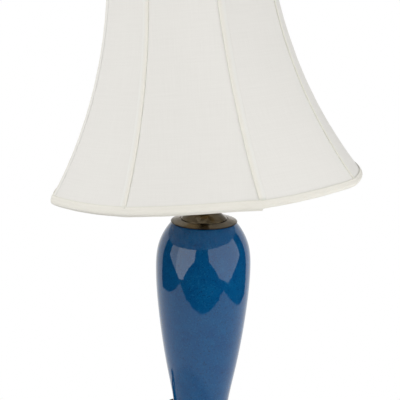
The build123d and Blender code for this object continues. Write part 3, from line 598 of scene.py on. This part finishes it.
def plan_reach(run, inset):
    """Radius of a panel's plan arc and half the angle that it spans."""
    reach = bell(run, inset)[0] + plan_offset
    return reach, half_panel - math.asin(plan_offset * math.sin(half_panel) / reach)


def panel_width(run):
    """Width of the cloth from seam to seam."""
    reach, spread = plan_reach(run, 0)
    return 2 * reach * spread


def on_shade(turn, run, inset):
    """Point of the shade: turn counts panels from the first seam, run goes up the curve."""
    panel = math.floor(turn)
    reach, spread = plan_reach(run, inset)
    angle = (2 * (turn - panel) - 1) * spread
    height = bell(run, inset)[1]
    spot = Vector((reach * math.cos(angle) - plan_offset, reach * math.sin(angle), height))
    bearing = seam_bearing + (panel + 0.5) * 2 * half_panel
    return shade_frame @ (Matrix.Rotation(bearing, 4, "Z") @ spot)


def ripple(position, size, seed):
    """Smooth noise from -1 to 1 along two lengths."""
    return noise.noise(Vector((position[0] / size, position[1] / size, seed)))


def pucker(turn, run):
    """How far the cloth draws in: small puckers beside the sewing, a slow unevenness between."""
    panel = math.floor(turn)
    share = 2 * (turn - panel) - 1
    off_middle = share * panel_width(run) / 2
    beside_seam = clamp((abs(share) - seam_pucker_start) / (1 - seam_pucker_start))
    beside_rim = clamp(1 - (run - bottom_trim) / rim_pucker_reach)
    between = 1 - share * share
    along = ripple((run, 0.0), seam_pucker_size, seed=panel + 0.3 + share)
    across = ripple((off_middle, 0.0), rim_pucker_size, seed=panel + 7.7)
    slack = ripple((off_middle, run), panel_slack_size, seed=panel * 3.1)
    by_seam = seam_pucker * along * beside_seam**2
    by_rim = rim_pucker * across * beside_rim
    return by_seam + by_rim + panel_slack * slack * between


def shade_panel(index):
    """One cloth panel, stretched from seam to seam."""
    def place(column, row):
        turn = index + 0.5 + (column - 0.5) * panel_share
        run = row * bell_length
        return on_shade(turn, run, pucker(turn, run))

    def flat(column, row):
        return (column - 0.5) * panel_width(row * bell_length), row * bell_length

    piece = grid_piece(f"panel_cloth_{index + 1}", panel_columns, panel_rows, place, flat)
    thicken(piece, panel_cloth)
    smooth(piece)
    return dress(piece, "shade_cloth", "shade", f"shade_panel_{index + 1}")


# A folded tape's section from its fold, round to its underside, as shares of its half width and height
tape_section = [
    (-1.00, 0.25), (-0.99, 0.72), (-0.95, 1.05), (-0.85, 1.25), (-0.70, 1.30), (-0.55, 1.20), (-0.45, 0.98),
    (-0.38, 0.82), (-0.28, 0.82), (-0.10, 0.84), (0.20, 0.78), (0.50, 0.68), (0.75, 0.56), (0.92, 0.42),
    (1.00, 0.22), (0.97, 0.04), (0.50, 0.00), (0.00, 0.00), (-0.50, 0.00), (-0.97, 0.04),
]


def seam_tape(index):
    """Folded tape sewn over one seam."""
    low = bottom_trim - tape_tuck
    high = bell_length - top_trim + tape_tuck
    section = tape_section + tape_section[:1]
    columns = len(tape_section)
    at_rim, at_crown = tape_drift.get(index, (0.0, 0.0))
    hand = -1 if index in right_folds else 1

    def place(column, row):
        across, up = section[round(column * columns)]
        run = low + row * (high - low)
        sway = tape_sway * ripple((run, 0.0), tape_sway_size, seed=index * 5.3)
        puff = 1 + tape_puff * ripple((run, across * tape_puff_width), tape_puff_size, seed=index * 2.9)
        drift = at_rim + (at_crown - at_rim) * row
        distance = hand * across * tape_width / 2 + sway + drift
        return on_shade(index + distance / panel_width(run), run, -sewn_gap - up * trim_cloth * puff)

    def flat(column, row):
        across, up = section[round(column * columns)]
        return across * tape_width / 2 + up * trim_cloth, row * (high - low)

    piece = grid_piece(f"tape_cloth_{index + 1}", columns, tape_rows, place, flat)
    close_tube(piece)
    smooth(piece, trim_edge)
    return dress(piece, "trim_cloth", "shade", f"seam_tape_{index + 1}")


def binding_section(depth):
    """Cloth rolled round an edge, as runs from that edge and insets."""
    outer = -sewn_gap
    inner = lining_inset + lining_cloth + sewn_gap
    middle = (outer + inner) / 2
    cloth = trim_cloth
    tuck = trim_turn_in
    upper_edge = [(depth, 0.25), (depth - 0.0002, 0.75), (depth - 0.0009, 1.0)]
    # Outer face with its fold line, as shares of the depth
    face = [
        (0.75, 1.06), (0.60, 1.08), (0.52, 1.04), (0.47, 0.80), (0.43, 0.98), (0.34, 1.0), (0.22, 0.82),
        (0.08, 0.40),
    ]
    outside = upper_edge + [(depth * share, lift) for share, lift in face]
    under = [
        (-0.0002, outer + cloth * 0.35), (-0.0008, outer + cloth * 1.30), (-0.00105, middle),
        (-0.0009, inner - cloth * 0.60), (-0.0003, inner + cloth * 0.40),
    ]
    inside = [
        (tuck * 0.2, inner + cloth * 0.95), (tuck - 0.0006, inner + cloth), (tuck, inner + cloth * 0.5),
        (tuck - 0.0003, inner), (tuck * 0.3, inner),
    ]
    back = [
        (sewn_gap, inner - 0.0004), (-sewn_gap, middle), (sewn_gap, outer + 0.0012),
        (depth * 0.3, outer), (depth - 0.0004, outer),
    ]
    return [(run, outer - cloth * lift) for run, lift in outside] + under + inside + back


def binding(name, edge, way, depth, first_seam, node):
    """Binding all round one edge, whose end laps over its start at one seam and hangs a little lower."""
    lap = 0.11              # panels from the start to the seam
    overrun = 0.012         # panels that the end runs past the seam
    climb = 0.4             # share of the lap over which the end climbs onto the start
    climb_lead = 0.6        # share of the climb that lies before the lap
    droop_length = 0.30     # panels over which the end hangs lower
    droop = 0.0022          # metres
    narrow_start = 0.27     # share by which the outer face is narrower at its start
    widen_from = 1.5        # panels from the seam to where the face begins to widen
    widen_over = 2.5        # panels in which it reaches its full depth
    section = binding_section(depth)
    columns = len(section)
    section = section + section[:1]
    around = panel_count + lap + overrun

    def place(column, row):
        offset, inset = section[round(column * columns)]
        turn = first_seam - lap + row * around
        outside = inset < lining_inset / 2
        if outside and offset > 0:
            widened = ease(clamp((turn - first_seam - widen_from) / widen_over))
            offset *= 1 - narrow_start * (1 - widened)
        left = around * (1 - row)
        over = clamp((lap + overrun - left) / (lap * climb) + climb_lead)
        outward = outside * trim_cloth * over
        sag = droop * clamp(1 - left / droop_length) ** 2
        pattern = (turn * binding_sway_scale[0], offset * binding_sway_scale[1])
        sway = binding_sway * ripple(pattern, binding_sway_size, seed=edge * 40)
        return on_shade(turn, edge + way * (offset + sway - sag), inset - outward)

    def flat(column, row):
        return row * panel_count * binding_stretch, column * binding_girth

    piece = grid_piece(name, columns, panel_columns * panel_count, place, flat)
    close_tube(piece)
    smooth(piece, trim_edge)
    return dress(piece, "trim_cloth", "shade", node)


def lining():
    """Inner cloth, sewn to both rings."""
    def place(column, row):
        turn = column * panel_count
        run = row * bell_length
        pattern = (turn * lining_slack_scale[0], run * lining_slack_scale[1])
        slack = lining_slack * ripple(pattern, lining_slack_size, seed=4.4) * math.sin(math.pi * row)
        return on_shade(turn, run, lining_inset + max(-lining_outward, slack))

    def flat(column, row):
        return column * panel_count * panel_width(row * bell_length), row * bell_length

    piece = grid_piece("lining_cloth", panel_columns * panel_count, lining_rows, place, flat)
    merge_edges(piece)
    bpy.ops.object.mode_set(mode="OBJECT")
    thicken(piece, lining_cloth)
    smooth(piece)
    return dress(piece, "lining_cloth", "shade", "shade_lining")


panels = [shade_panel(index) for index in range(panel_count)]
tapes = [seam_tape(index) for index in range(panel_count)]
bottom_band = binding(
    "rim_binding", edge=0.0, way=1, depth=bottom_trim, first_seam=0, node="shade_bottom_binding"
)
top_band = binding(
    "crown_binding", edge=bell_length, way=-1, depth=top_trim, first_seam=4, node="shade_top_binding"
)
inner_cloth = lining()


# Felt under the foot

def felt_disc():
    """Felt disc with soft edges."""
    sides = 96
    edge_share = 0.35       # of the thickness
    low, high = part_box("felt_pad")
    radius = high.x
    thickness = high.z - low.z
    deselect()
    bpy.ops.mesh.primitive_cylinder_add(
        vertices=sides, radius=radius, depth=thickness, location=(0, 0, thickness / 2)
    )
    piece = start_piece("felt_disc")
    bpy.ops.object.transform_apply(location=True)
    bevel = piece.modifiers.new("soft edge", "BEVEL")
    bevel.width = thickness * edge_share
    bevel.segments = 3
    finish_modifiers(piece)
    smooth(piece)
    dress(piece, "brown_felt", "lamp", "felt_pad")
    return piece


felt_disc()


# Cord

def coil_spots():
    """Points of the coil: in along the table, up a layer at the reversal, out on top, then to the plug."""
    heading = Vector(cord_route[-1]) - Vector(cord_route[-2])
    heading.z = 0
    heading.normalize()
    side = Vector((-heading.y, heading.x, 0))
    start = Vector(cord_route[-1]) + heading * 2 * cord_radius
    centre = start + side * coil_radius
    begin = math.atan2(-heading.x, heading.y)
    spots = []
    count = round(coil_turns * coil_points_per_turn)
    for step in range(count + 1):
        turns = coil_turns * step / count
        radius = coil_radius - coil_pitch * min(turns, coil_turns - turns)
        rise = coil_pitch * ease(clamp((turns - coil_turns / 2) / coil_climb + 0.5))
        angle = begin + 2 * math.pi * turns
        spots.append(centre + Vector((radius * math.cos(angle), radius * math.sin(angle), rise)))
    spoke = spots[-1] - centre
    spoke.z = 0
    leaving = Vector((0, 0, 1)).cross(spoke).normalized()
    return spots + [spots[-1] + leaving * plug_lead / 2, spots[-1] + leaving * plug_lead]


def supply_cord():
    """The whole cord on one smooth line, from the strain relief through the coil to the plug."""
    spots = [Vector(spot) for spot in cord_route] + coil_spots()
    curve = bpy.data.curves.new("supply_cord", "CURVE")
    curve.dimensions = "3D"
    curve.bevel_depth = cord_radius
    curve.bevel_resolution = 5
    curve.resolution_u = 6
    curve.use_fill_caps = True
    line = curve.splines.new("NURBS")
    line.points.add(len(spots) - 1)
    for point, spot in zip(line.points, spots):
        point.co = (*spot, 1.0)
    line.order_u = 3
    line.use_endpoint_u = True
    piece = bpy.data.objects.new("supply_cord", curve)
    bpy.context.scene.collection.objects.link(piece)
    dress(piece, "black_cord", "lamp", "cord_lead", "cord_coil")
    return piece


supply_cord()


# Studio, in metres

white = rgb(1, 1, 1)
world_level = 0.535                     # light from all round
floor_side = 8.0
floor_colour = rgb(0.82, 0.82, 0.81)
shadow_middle = (-0.05, -0.02, 0)
shadow_reach = (0.15, 0.18)             # where the floor turns white
light_aim = (0, 0, 0.5)
light_side = 1.0
softbox_distance = 0.68
left_bearing = math.radians(-55.5)
right_bearing = math.radians(54.7)
# Dark room beyond the table: its walls, and how far behind the lamp they reach on each side
room_reach = 1.4
room_top = 5.0
room_dark = 0.03
flag_lift = 0.002
left_back = math.tan(math.radians(24.5))
right_back = math.tan(math.radians(33))
table_front = -0.44
table_left = -0.63
table_right = 0.53


def make_camera():
    """Camera at the photograph's viewing angle."""
    lens = bpy.data.cameras.new("camera")
    lens.sensor_width = sensor
    lens.lens = focal_pixels / image_side * sensor
    camera = bpy.data.objects.new("camera", lens)
    turn = Matrix.Rotation(math.pi / 2 - camera_dip, 4, "X") @ Matrix.Rotation(camera_roll, 4, "Z")
    camera.matrix_world = Matrix.Translation(camera_place) @ turn
    bpy.context.scene.collection.objects.link(camera)
    bpy.context.scene.camera = camera


def seen_rays(tree):
    """One for rays that see the background: from the camera, a reflection or clear glass."""
    rays = add(tree, "ShaderNodeLightPath").outputs
    glossy = math_node(tree, "MAXIMUM", rays["Is Camera Ray"], rays["Is Glossy Ray"])
    return math_node(tree, "MAXIMUM", glossy, rays["Is Transmission Ray"])


def make_world():
    """White to look at, a plain soft level to light with."""
    world = bpy.data.worlds.new("studio")
    bpy.context.scene.world = world
    world.use_nodes = True
    tree = world.node_tree
    back = tree.nodes["Background"]
    back.inputs["Color"].default_value = white
    strength = remap(tree, seen_rays(tree), (0, 1), (world_level, 1))
    tree.links.new(strength, back.inputs["Strength"])


def white_glow(tree, strength):
    """Plain white light from a surface."""
    return add(tree, "ShaderNodeEmission", {"Color": white, "Strength": strength}).outputs[0]


def make_floor():
    """Pale table: a plain surface with the lamp's shadow near it, white further out."""
    deselect()
    bpy.ops.mesh.primitive_plane_add(size=floor_side)
    floor = start_piece("floor")
    finish, tree, _, place = start_finish("pale_table", Base_Color=floor_colour, Roughness=0.7)
    offsets = {0: place, 1: shadow_middle}
    near = add(tree, "ShaderNodeVectorMath", offsets, operation="DISTANCE").outputs["Value"]
    factor = math_node(tree, "MULTIPLY", remap(tree, near, shadow_reach), seen_rays(tree))
    shader = tree.nodes["Principled BSDF"].outputs[0]
    inputs = {0: factor, 1: shader, 2: white_glow(tree, 1.0)}
    mixed = add(tree, "ShaderNodeMixShader", inputs).outputs[0]
    tree.links.new(mixed, tree.nodes["Material Output"].inputs["Surface"])
    floor.data.materials.append(finish)


def plain_glow(name, strength):
    """Finish of a card: an even glow, bright or nearly dark."""
    finish = bpy.data.materials.new(name)
    finish.use_nodes = True
    tree = finish.node_tree
    tree.nodes.remove(tree.nodes["Principled BSDF"])
    tree.links.new(white_glow(tree, strength), tree.nodes["Material Output"].inputs["Surface"])
    return finish


def reflected_card(name, corners, strength):
    """Flat card that only reflections see: a softbox face or a dark flag."""
    deselect()
    bpy.ops.mesh.primitive_circle_add(vertices=len(corners), fill_type="NGON")
    card = start_piece(name)
    for vertex, corner in zip(card.data.vertices, corners):
        vertex.co = corner
    card.data.materials.append(plain_glow(name, strength))
    card.visible_camera = False
    card.visible_diffuse = False
    card.visible_transmission = False
    card.visible_shadow = False


def softbox_face(name, bearing, outline, strength):
    """Softbox face beside the camera: bearing from the camera's side, outline as widths and heights."""
    middle = Vector((math.sin(bearing), -math.cos(bearing), 0)) * softbox_distance
    across = Vector((math.cos(bearing), math.sin(bearing), 0))
    reflected_card(name, [middle + across * wide + Vector((0, 0, high)) for wide, high in outline], strength)


def wall_flag(name, first, last):
    """Dark wall of the room, from one spot on the floor to another."""
    corners = [(*first, 0), (*last, 0), (*last, room_top), (*first, room_top)]
    reflected_card(name, corners, room_dark)


def floor_flag(name, spots):
    """Dark floor beyond an edge of the table."""
    reflected_card(name, [(*spot, flag_lift) for spot in spots], room_dark)


def key_light(name, place, power):
    """Broad lamp for the plain light; the softbox faces stand for it in reflections."""
    lamp = bpy.data.lights.new(name, "AREA")
    lamp.size = light_side
    lamp.energy = power
    holder = bpy.data.objects.new(name, lamp)
    facing = (Vector(light_aim) - Vector(place)).to_track_quat("-Z", "Y")
    holder.matrix_world = Matrix.Translation(place) @ facing.to_matrix().to_4x4()
    holder.visible_glossy = False
    bpy.context.scene.collection.objects.link(holder)


def make_lights():
    """Two lamps, and the softbox faces that the glaze shows."""
    key_light("key_left", place=(-1.2, -0.70, 1.95), power=19.0)
    key_light("key_right", place=(1.25, -0.87, 0.25), power=12.0)
    left_face = [
        (-0.12, 0.12), (-0.03, 0.06), (0.11, 0.06), (0.47, 0.34), (0.50, 0.90), (0.25, 1.15), (-0.12, 1.15),
    ]
    left_edge = [(-0.42, 0.33), (-0.12, 0.12), (-0.12, 1.15), (-0.25, 1.15), (-0.46, 0.90)]
    right_face = [
        (-0.22, 0.075), (0.05, 0.045), (0.17, 0.06), (0.62, 0.30), (0.62, 0.90), (0.30, 1.15), (-0.30, 1.15),
        (-0.66, 0.90), (-0.60, 0.34),
    ]
    softbox_face("softbox_left", left_bearing, left_face, strength=3.0)
    softbox_face("softbox_left_edge", left_bearing, left_edge, strength=1.9)
    softbox_face("softbox_right", right_bearing, right_face, strength=2.0)


def make_dark_room():
    """Dark walls and floor beyond the table, in front of the lamp and at its sides."""
    front_left = (-room_reach, -room_reach)
    front_right = (room_reach, -room_reach)
    back_left = (-room_reach, room_reach * left_back)
    back_right = (room_reach, room_reach * right_back)
    side_left = (-room_reach, table_front)
    side_right = (room_reach, table_front)
    wall_flag("flag_front", front_left, front_right)
    wall_flag("flag_left", front_left, back_left)
    wall_flag("flag_right", front_right, back_right)
    floor_flag("flag_floor_front", [front_left, front_right, side_right, side_left])
    floor_flag(
        "flag_floor_left",
        [(table_left, table_front), (table_left, -table_left * left_back), back_left, side_left],
    )
    floor_flag(
        "flag_floor_right",
        [(table_right, table_front), (table_right, table_right * right_back), back_right, side_right],
    )


make_camera()
make_world()
make_floor()
make_lights()
make_dark_room()
bpy.context.scene.view_settings.view_transform = "Standard"
